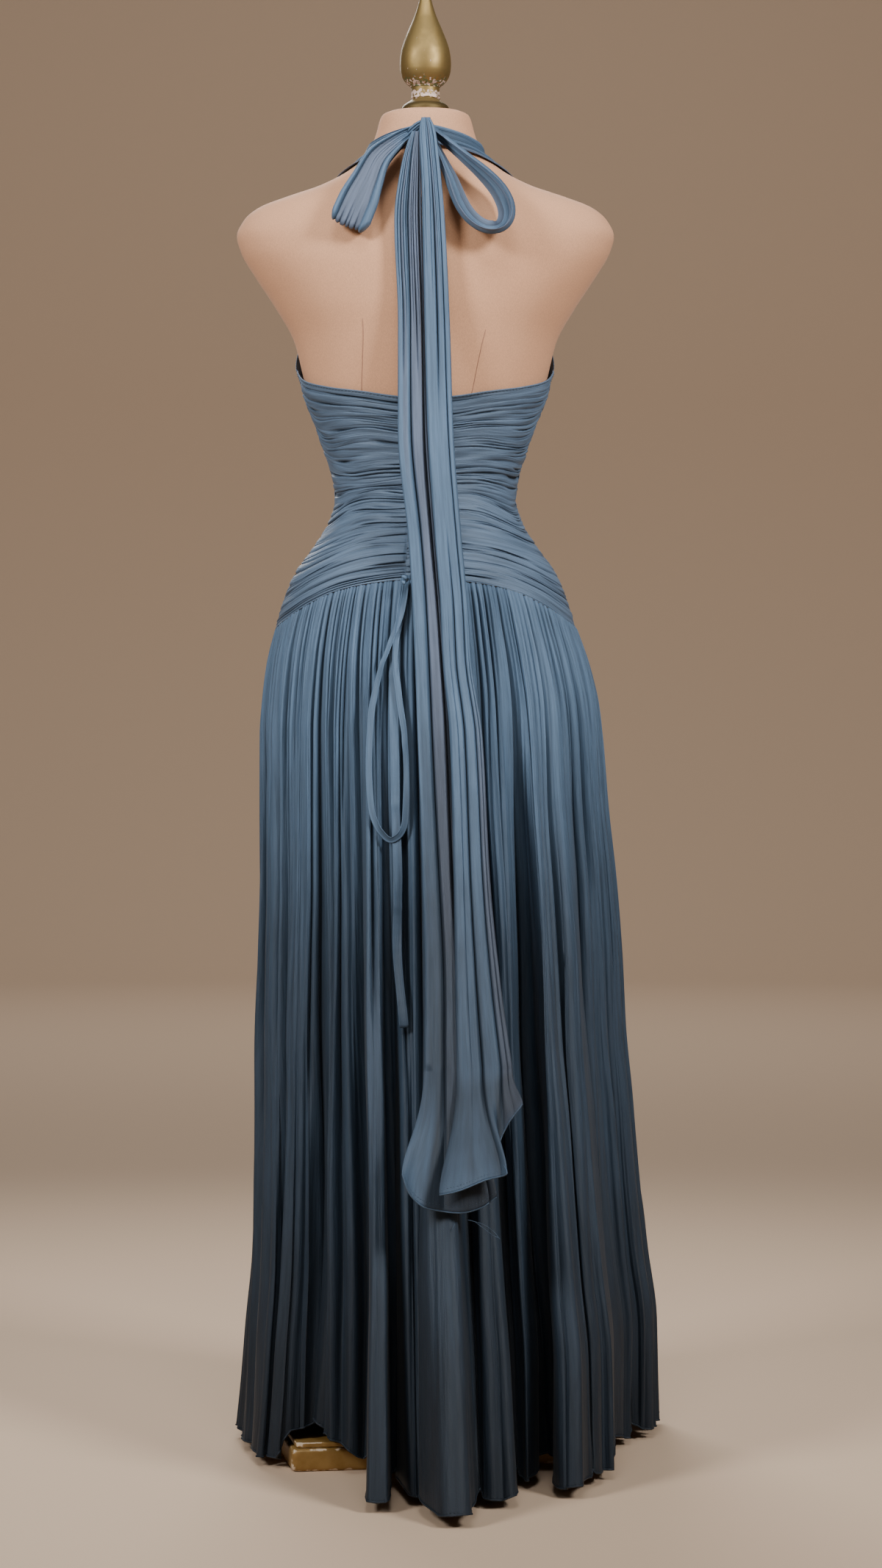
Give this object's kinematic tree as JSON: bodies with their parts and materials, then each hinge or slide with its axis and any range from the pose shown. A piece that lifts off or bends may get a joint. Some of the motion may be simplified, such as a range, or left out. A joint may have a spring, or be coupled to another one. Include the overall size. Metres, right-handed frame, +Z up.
{
  "type": "evening gown on dress form",
  "caption": "Backless halter evening gown with a ruched bodice, gathered skirt and long bow tails, worn by a limbless dress form on a square base.",
  "frame": {"origin": "centre of the base's underside, on the axis of the form's pole", "axes": "+Z up along the pole, +Y towards the gown's back, +X towards the wearer's left"},
  "size_m": [0.4889, 0.7681, 1.6923],
  "materials": {
    "chiffon": "crinkled silk chiffon, soft sheen",
    "form_cover": "matt woven jersey cover",
    "gilt_wood": "worn antique gold paint",
    "base_paint": "gold paint, chipped white edges",
    "pole_wood": "dark varnish"
  },
  "bodies": {
    "root": {"skirt_back_left": "chiffon", "skirt_back_right": "chiffon", "skirt_front": "chiffon", "bodice_back_left": "chiffon", "bodice_back_right": "chiffon", "bodice_front_left": "chiffon", "bodice_front_right": "chiffon", "halter_left": "chiffon", "halter_right": "chiffon", "knot": "chiffon", "bow_left": "chiffon", "bow_right": "chiffon", "tail_left": "chiffon", "tail_right": "chiffon", "ribbon_loop": "chiffon", "ribbon_end": "chiffon", "form_torso": "form_cover", "finial": "gilt_wood", "base_lower": "base_paint", "base_upper": "base_paint", "pole": "pole_wood"}
  },
  "joints": []
}
